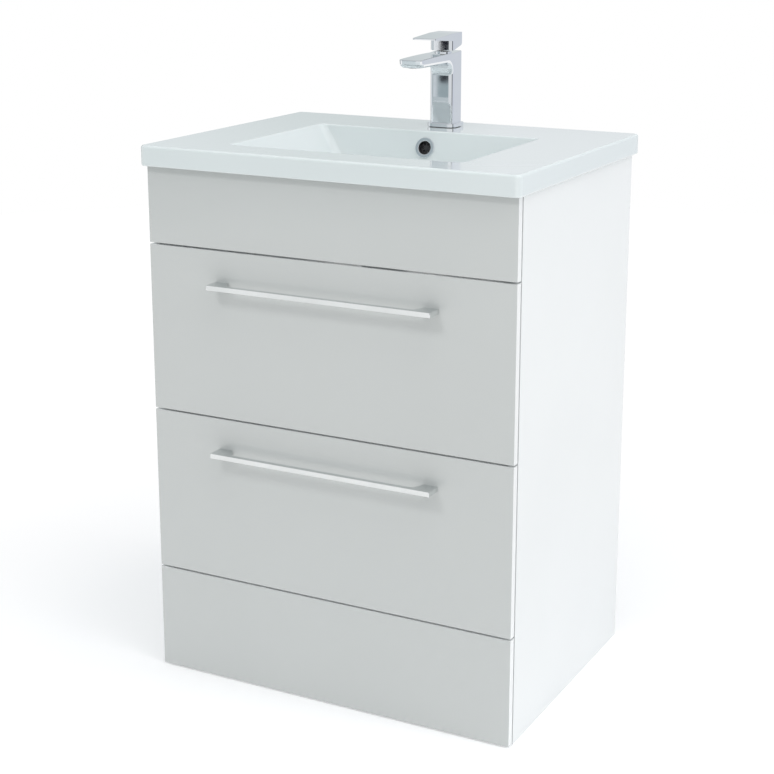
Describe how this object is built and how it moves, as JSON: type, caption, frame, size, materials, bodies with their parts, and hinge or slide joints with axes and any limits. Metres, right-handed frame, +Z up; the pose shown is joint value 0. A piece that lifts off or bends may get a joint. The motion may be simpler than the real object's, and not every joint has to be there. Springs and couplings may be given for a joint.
{
  "type": "bathroom vanity cabinet",
  "caption": "Floor-standing bathroom vanity with two drawers, bar handles, an inset rectangular ceramic basin and a single-lever mono tap.",
  "frame": {"origin": "on the floor, at the centre of the whole object's footprint", "axes": "+X to the right seen from the front, +Y back to the wall, +Z up; millimetres in the source, metres in the row"},
  "size_m": [0.612, 0.483, 0.985],
  "materials": {
    "gloss_grey_front": "high-gloss light grey lacquer on fibreboard",
    "white_board": "satin white melamine on chipboard",
    "drawer_board": "matt white melamine",
    "handle_chrome": "polished chrome plate",
    "runner_steel": "zinc-plated rolled steel",
    "zinc_steel": "bright zinc plate",
    "cam_zinc": "die-cast zinc",
    "dowel_wood": "fluted beech",
    "clear_plastic": "soft clear plastic",
    "basin_ceramic": "gloss white glaze",
    "tap_chrome": "polished chrome plate",
    "black_plastic": "moulded black plastic",
    "black_rubber": "moulded rubber",
    "grey_plastic": "moulded grey plastic",
    "tap_brass": "machined brass"
  },
  "bodies": {
    "carcass": {"aerator": "grey_plastic", "base_board": "white_board", "basin": "basin_ceramic", "cam_bolts": "zinc_steel", "cam_locks": "cam_zinc", "cartridge": "grey_plastic", "cartridge_cover": "tap_chrome", "fascia_panel": "gloss_grey_front", "fixed_panel_screws": "zinc_steel", "fixed_panel_spacers": "clear_plastic", "front_bumpers": "clear_plastic", "lower_back_rail": "white_board", "overflow_ring": "tap_chrome", "plinth_panel": "gloss_grey_front", "plinth_rail": "white_board", "runner_cabinet_members": "runner_steel", "runner_screws": "zinc_steel", "side_panel_left": "white_board", "side_panel_right": "white_board", "tap_base_seal": "black_rubber", "tap_body": "tap_chrome", "tap_horseshoe_plate": "zinc_steel", "tap_nut": "zinc_steel", "tap_stud": "zinc_steel", "tap_washer": "black_rubber", "top_back_rail": "white_board", "top_front_rail": "white_board", "wall_bracket_left": "zinc_steel", "wall_bracket_right": "zinc_steel", "wall_bracket_screws": "zinc_steel", "waste_back_nut": "black_plastic", "waste_body": "tap_chrome", "waste_lower_seal": "black_rubber", "waste_upper_seal": "black_rubber", "wood_dowels": "dowel_wood"},
    "upper_drawer": {"upper_drawer_front": "gloss_grey_front", "upper_drawer_box_front": "drawer_board", "upper_drawer_base": "drawer_board", "upper_drawer_side_left": "drawer_board", "upper_drawer_side_right": "drawer_board", "upper_drawer_backs": "drawer_board", "upper_notch_sides": "drawer_board", "upper_notch_front": "drawer_board", "upper_handle": "handle_chrome", "upper_drawer_screws": "zinc_steel", "upper_runner_drawer_members": "runner_steel"},
    "lower_drawer": {"lower_drawer_front": "gloss_grey_front", "lower_drawer_box_front": "drawer_board", "lower_drawer_base": "drawer_board", "lower_drawer_side_left": "drawer_board", "lower_drawer_side_right": "drawer_board", "lower_drawer_back": "drawer_board", "lower_handle": "handle_chrome", "lower_drawer_screws": "zinc_steel", "lower_runner_drawer_members": "runner_steel"},
    "upper_runner_middle": {"upper_runner_middle_members": "runner_steel"},
    "lower_runner_middle": {"lower_runner_middle_members": "runner_steel"},
    "tap_stem": {"cartridge_stem": "tap_brass"},
    "tap_handle": {"tap_lever": "tap_chrome"},
    "plug": {"waste_plug": "tap_chrome"}
  },
  "joints": [
    {"name": "upper_drawer_slide", "type": "slide", "parent": "carcass", "child": "upper_drawer", "axis": [0, -1, 0], "range_m": [0, 0.38]},
    {"name": "lower_drawer_slide", "type": "slide", "parent": "carcass", "child": "lower_drawer", "axis": [0, -1, 0], "range_m": [0, 0.38]},
    {"name": "upper_runner_middle_slide", "type": "slide", "parent": "carcass", "child": "upper_runner_middle", "axis": [0, -1, 0], "range_m": [0, 0.19]},
    {"name": "lower_runner_middle_slide", "type": "slide", "parent": "carcass", "child": "lower_runner_middle", "axis": [0, -1, 0], "range_m": [0, 0.19]},
    {"name": "tap_temperature", "type": "hinge", "parent": "carcass", "child": "tap_stem", "pos_m": [0, 0.1725, 0.956], "axis": [0, 0, 1], "range_deg": [-45, 45]},
    {"name": "tap_flow", "type": "hinge", "parent": "tap_stem", "child": "tap_handle", "pos_m": [0, 0.1725, 0.969], "axis": [-1, 0, 0], "range_deg": [0, 20]},
    {"name": "waste_plug_lift", "type": "slide", "parent": "carcass", "child": "plug", "axis": [0, 0, 1], "range_m": [0, 0.008]}
  ],
  "couplings": [
    {"joint": "upper_runner_middle_slide", "follows": "upper_drawer_slide", "ratio": 0.5},
    {"joint": "lower_runner_middle_slide", "follows": "lower_drawer_slide", "ratio": 0.5}
  ]
}
